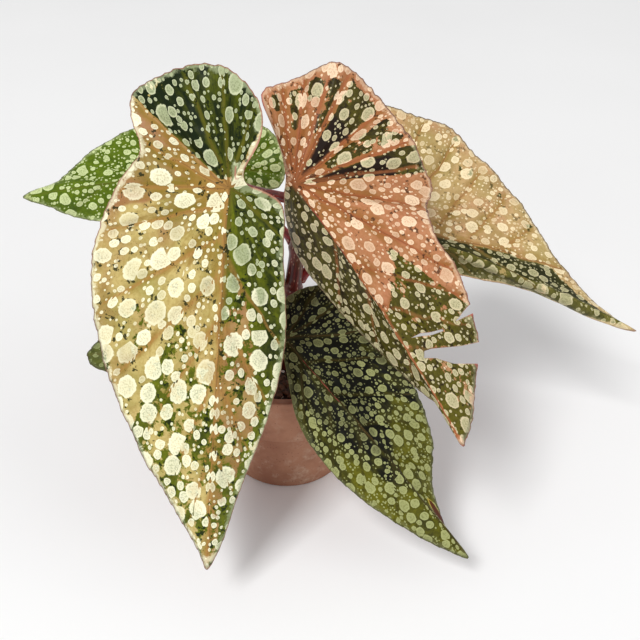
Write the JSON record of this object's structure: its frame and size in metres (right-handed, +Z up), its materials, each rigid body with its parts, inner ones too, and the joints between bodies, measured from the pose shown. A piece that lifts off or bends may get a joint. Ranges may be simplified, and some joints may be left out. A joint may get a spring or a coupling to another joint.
{
  "type": "potted begonia",
  "caption": "Spotted angel-wing cane begonia with large lopsided pointed leaves, variegated pink, cream and green, growing in a small clay pot.",
  "frame": {"origin": "centre of the pot's flat bottom", "axes": "+Z up along the pot's axis, -Y towards the side that most of the leaves face, +X to the right seen from that side"},
  "size_m": [0.2825, 0.1608, 0.2127],
  "materials": {
    "terracotta": "matte",
    "potting_mix": "matte",
    "cane": "satin",
    "stalk": "satin",
    "stipule": "matte",
    "young_leaf": "satin",
    "pale_leaf": "satin",
    "pink_leaf": "satin",
    "cream_leaf": "satin",
    "dark_leaf": "satin",
    "green_leaf": "satin",
    "olive_leaf": "satin"
  },
  "bodies": {
    "root": {"pot": "terracotta", "potting_mix": "potting_mix", "cane": "cane", "leaf_front_left": "pale_leaf", "stalk_front_left": "stalk", "leaf_front_right": "pink_leaf", "stalk_front_right": "stalk", "leaf_right": "cream_leaf", "stalk_right": "stalk", "leaf_lower_right": "dark_leaf", "stalk_lower_right": "stalk", "leaf_back_left": "green_leaf", "stalk_back_left": "stalk", "leaf_low_left": "olive_leaf", "stalk_low_left": "stalk", "stipule_1": "stipule", "stipule_2": "stipule", "stipule_3": "stipule", "stipule_4": "stipule", "young_leaf": "young_leaf"}
  },
  "joints": []
}
